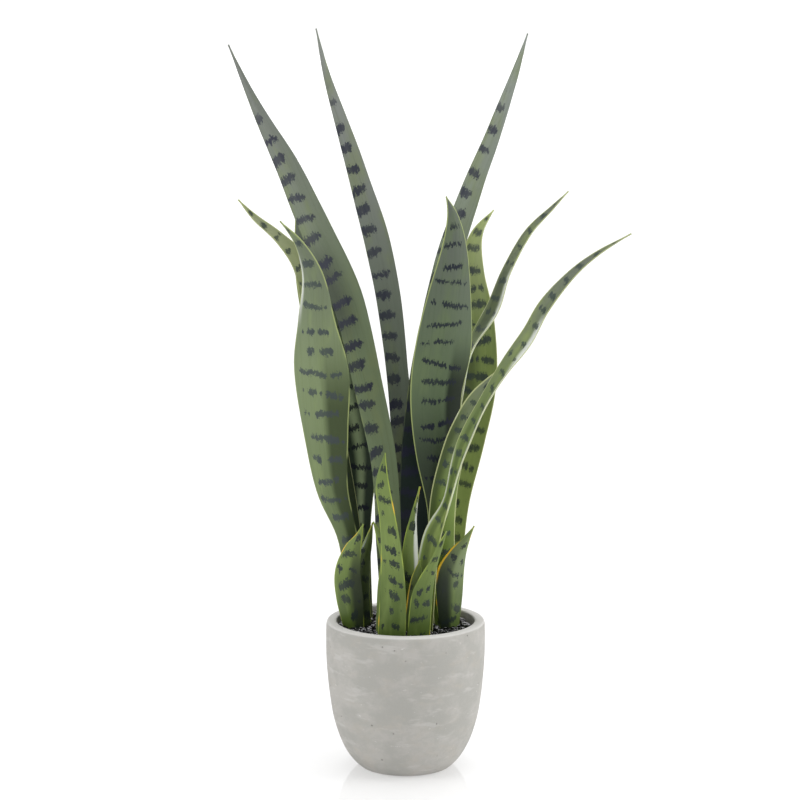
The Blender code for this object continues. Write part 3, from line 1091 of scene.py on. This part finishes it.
LONG_TWISTED_BLADE = replace(
    TWISTED_BLADE, green=paint(114, 132, 74), streaks=(
        # Painted shade on the lower arch, and painted sheen along both margins at the twists.
        Streak(paint(58, 76, 32), -0.35, 0.30, 0.0, 0.27, 0.6, 0.2),
        Streak(PAINTED_SHEEN, 1.0, 0.20, 0.12, 0.36, 0.85, 0.12, 0.04),
        Streak(PAINTED_SHEEN, 1.0, 0.65, 0.28, 0.36, 0.8, 0.3, 0.03),
        Streak(PAINTED_SHEEN, -1.0, 0.16, 0.06, 0.20, 0.7, 0.1, 0.03),
    ),
)
YOUNG_BLADE = LeafFinish(
    green=paint(108, 127, 64), foot=paint(72, 92, 34), tip=paint(100, 118, 60), patch=paint(122, 141, 74),
    stroke=paint(28, 41, 36), margin=paint(150, 168, 68), flush=AMBER, margin_width=0.00055,
    margin_share=0.8, margin_breaks=0.45, row_pitch=0.0165, row_waver=0.016, stroke_height=0.0064,
    stroke_blur=0.0010, stroke_share=0.97, slant=1.1, tooth_height=0.0012, ragged=0.0140, gaps=0.46,
    foot_reach=0.09, tip_reach=0.05,
)
# Painted shade over the margin -1 half, turned towards the plant.
YOUNG_LIT_LEFT = replace(
    YOUNG_BLADE, streaks=(Streak(paint(34, 46, 22), -0.85, 0.6, -0.2, 0.11, 0.95, 0.25),)
)
YOUNG_LIT_RIGHT = replace(
    YOUNG_BLADE, green=paint(116, 130, 92), streaks=(
        # Painted shade over the margin 1 half; the amber band is the margin's own colour.
        Streak(paint(28, 40, 26), 0.9, 0.85, -0.2, 0.095, 0.95, 0.3, 0.05),
        Streak(AMBER, 1.0, 0.10, 0.045, 0.095, 0.95, 0.05, 0.012),
    ),
)
# Painted shade: the small centre leaf is given a dark green for the shade it stands in; the amber band is
# its margin's own colour.
YOUNG_IN_PAINTED_SHADE = replace(
    YOUNG_BLADE, green=paint(60, 70, 42), patch=paint(74, 84, 50), streaks=(
        Streak(AMBER, 1.0, 0.10, 0.01, 0.09, 0.85, 0.06, 0.015),
    ),
)
# Painted sheen along the margin -1 side of the lower leaf.
YOUNG_PAINTED_SHEEN = replace(YOUNG_BLADE, streaks=(Streak(PAINTED_SHEEN, -0.75, 0.30, 0.03, 0.15, 0.85, 0.15, 0.02),))
YOUNG_SHADED = replace(
    YOUNG_BLADE, streaks=(
        # Painted shade over the lower leaf, and a painted highlight along margin 1.
        Streak(paint(40, 52, 38), 0.0, 2.0, -0.2, 0.12, 0.6),
        Streak(paint(176, 186, 176), 0.85, 0.2, 0.01, 0.10, 0.8, 0.12, 0.02),
    ),
)


LEAVES = [
    Leaf("leaf_tall_left", LeafKind.TALL, 0.22, (
        (-14, -4, 143, 22, 20), (-18, -2, 230, 27, 24), (-23, 2, 309, 28, 28), (-41, 6, 395, 33, 32),
        (-61, 8, 475, 37, 36), (-92, 4, 545, 35, 38), (-118, -6, 606, 26, 38), (-147, -20, 666, 11, 38),
        (-170, -36, 722, 0, 38),
    ), GREY_BLADE_PAINTED_SHADOW, 2.3),
    Leaf("leaf_tall_centre", LeafKind.TALL, 0.2, (
        (4, 26, 143, 22, -8), (2, 32, 230, 26, -10), (0, 38, 313, 26, -12), (-7, 44, 389, 23, -18),
        (-16, 50, 469, 27, -24), (-29, 57, 533, 29, -30), (-43, 63, 580, 25, -34),
        (-60, 70, 635, 18, -36), (-78, 78, 689, 9, -36), (-90, 86, 738, 0, -36),
    ), REAR_GREY_BLADE, 9.4),
    Leaf("leaf_tall_right", LeafKind.TALL, 0.2, (
        (9, 8, 143, 22, 12), (8, 14, 230, 28, 14), (8, 20, 302, 29, 18), (14, 27, 375, 29, 24),
        (25, 31, 440, 30, 30), (42, 34, 514, 30, 34), (65, 38, 581, 25, 36), (86, 42, 634, 18, 36),
        (106, 46, 688, 10, 36), (121, 50, 733, 0, 36),
    ), SHADED_GREY_BLADE, 16.5),
    Leaf("leaf_front_left", LeafKind.BROAD, 0.26, (
        (-49, 14, 143, 21, 165), (-58, 10, 225, 21, 162), (-75, 4, 281, 34, 160),
        (-82, -6, 341, 49, 158), (-86, -16, 402, 59, 158), (-89, -24, 452, 40, 158),
        (-91, -32, 497, 23, 160), (-103, -42, 531, 9, 162), (-121, -50, 554, 0, 162),
    ), SAGE_BLADE, 23.6),
    Leaf("leaf_left_arching", LeafKind.BROAD, 0.24, (
        (-44, 27, 143, 16, 25), (-58, 34, 239, 24, 32), (-74, 39, 329, 28, 38), (-84, 42, 406, 28, 38),
        (-95, 42, 463, 26, 34), (-105, 40, 504, 20, 30), (-126, 35, 531, 11, 25), (-150, 30, 552, 6, 20),
        (-166, 25, 570, 0, 20),
    ), ARCHED_LIME_BLADE, 30.7),
    Leaf("leaf_left_back", LeafKind.BROAD, 0.3, (
        (-43, 40, 143, 18, 5), (-47, 49, 235, 22, 8), (-49, 56, 311, 38, 12), (-65, 64, 383, 49, 15),
        (-84, 72, 446, 46, 18), (-100, 80, 501, 29, 20), (-112, 88, 550, 0, 20),
    ), BACK_BLADE, 37.8),
    Leaf("leaf_front_centre", LeafKind.YOUNG, 0.22, (
        (-14, -46, 143, 27, 178), (-13, -48, 180, 26, 174), (-14, -52, 222, 21, 170),
        (-18, -56, 263, 16, 168), (-23, -61, 299, 13, 166), (-20, -66, 331, 0, 166),
    ), YOUNG_BLADE, 44.9),
    Leaf("leaf_front_right", LeafKind.BROAD, 0.2, (
        (37, 20, 143, 22, 190), (36, 16, 206, 24, 192), (37, 9, 262, 30, 194), (34, 0, 320, 47, 197),
        (32, -8, 375, 54, 200), (39, -14, 426, 59, 200), (44, -20, 476, 46, 200),
        (48, -26, 524, 27, 200), (46, -31, 556, 12, 200), (39, -36, 577, 0, 200),
    ), DARK_BLADE, 52.0),
    Leaf("leaf_right_back", LeafKind.BROAD, 0.26, (
        (43, 37, 143, 20, -10), (48, 43, 205, 22, -12), (52, 50, 263, 29, -15), (63, 58, 323, 39, -18),
        (73, 66, 384, 45, -20), (72, 74, 444, 43, -22), (68, 82, 494, 28, -24), (73, 88, 530, 13, -24),
        (90, 94, 555, 0, -24),
    ), BROAD_LIME_BLADE, 59.1),
    Leaf("leaf_right_short_arch", LeafKind.BROAD, 0.26, (
        (25, 35, 143, 18, -20), (34, 34, 222, 25, -40), (45, 34, 314, 28, -55), (56, 34, 376, 27, -70),
        (67, 36, 419, 26, -78), (89, 40, 458, 22, -58), (103, 44, 497, 15, -56), (124, 50, 535, 10, -54),
        (148, 56, 560, 5, -50), (164, 62, 576, 0, -50),
    ), TWISTED_BLADE, 66.2),
    Leaf("leaf_right_long_arch", LeafKind.BROAD, 0.26, (
        (20, -18, 143, 18, -30), (22, -24, 191, 23, -36), (27, -30, 236, 24, -48),
        (42, -38, 273, 24, -80), (55, -46, 326, 24, -68), (76, -54, 374, 25, -80),
        (97, -60, 411, 24, -76), (119, -64, 443, 21, -60), (135, -67, 474, 17, -58),
        (160, -70, 505, 10, -56), (185, -72, 526, 5, -54), (215, -74, 544, 0, -50),
    ), LONG_TWISTED_BLADE, 73.3),
    Leaf("leaf_right_broad", LeafKind.BROAD, 0.24, (
        (40, 9, 143, 21, 190), (37, 4, 215, 26, 192), (38, -6, 269, 27, 196), (46, -16, 314, 25, 200),
        (57, -24, 348, 24, 204), (73, -32, 380, 20, 206), (97, -40, 414, 0, 208),
    ), SHORT_LIME_BLADE, 80.4),
    Leaf("leaf_small_front_right", LeafKind.YOUNG, 0.24, (
        (13, -44, 143, 22, 184), (16, -47, 181, 21, 188), (21, -50, 201, 15, 190),
        (28, -53, 220, 8, 192), (34, -56, 237, 5, 192), (40, -59, 252, 0, 192),
    ), YOUNG_BLADE, 87.5),
    Leaf("leaf_small_dark_centre", LeafKind.YOUNG, 0.24, (
        (6, -30, 143, 17, 170), (9, -31, 170, 17, 170), (11, -33, 197, 12, 170), (14, -35, 218, 0, 170),
    ), YOUNG_IN_PAINTED_SHADE, 94.6),
    Leaf("leaf_small_left", LeafKind.YOUNG, 0.3, (
        (-53, -8, 143, 22, 160), (-57, -10, 171, 29, 160), (-59, -13, 198, 28, 160),
        (-54, -17, 222, 19, 160), (-47, -20, 238, 8, 160), (-42, -23, 252, 0, 160),
    ), YOUNG_LIT_LEFT, 101.7),
    Leaf("leaf_small_left_inner", LeafKind.YOUNG, 0.24, (
        (-42, 3, 143, 17, 200), (-44, 4, 178, 18, 200), (-42, 6, 208, 15, 200), (-37, 8, 229, 8, 200),
        (-33, 10, 247, 0, 200),
    ), YOUNG_SHADED, 108.8),
    Leaf("leaf_small_centre_back", LeafKind.YOUNG, 0.22, (
        (-21, -27, 143, 17, 176), (-18, -28, 185, 20, 176), (-17, -29, 215, 16, 176),
        (-24, -30, 237, 9, 176), (-32, -31, 256, 0, 176),
    ), YOUNG_BLADE, 115.9),
    Leaf("leaf_small_right", LeafKind.YOUNG, 0.3, (
        (45, -9, 143, 20, 200), (45, -11, 172, 28, 200), (46, -14, 199, 29, 200),
        (52, -17, 219, 19, 200), (60, -20, 235, 8, 200), (68, -23, 250, 0, 200),
    ), YOUNG_LIT_RIGHT, 123.0),
    Leaf("leaf_centre_small", LeafKind.YOUNG, 0.24, (
        (4, -14, 143, 17, 188), (5, -16, 198, 18, 188), (5, -18, 230, 14, 188), (8, -21, 260, 6, 188),
        (14, -25, 290, 0, 188),
    ), YOUNG_PAINTED_SHEEN, 130.1),
]


def main() -> None:
    """Build the plant, its pot and the studio."""
    logging.basicConfig(level=logging.INFO, format="%(name)s: %(message)s")
    LOG.info("pot: %d faces", len(Pot().build().data.polygons))
    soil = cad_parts["potting_soil"]
    soil.data.materials.clear()
    soil.data.materials.append(SoilFinish().material())
    for leaf in LEAVES:
        LOG.info("%s: %d faces", leaf.name, len(leaf.build().data.polygons))
    LOG.info("gravel: %d faces", len(GravelBed(LEAVES).build().data.polygons))
    Studio().build()


if __name__ == "__main__":
    main()
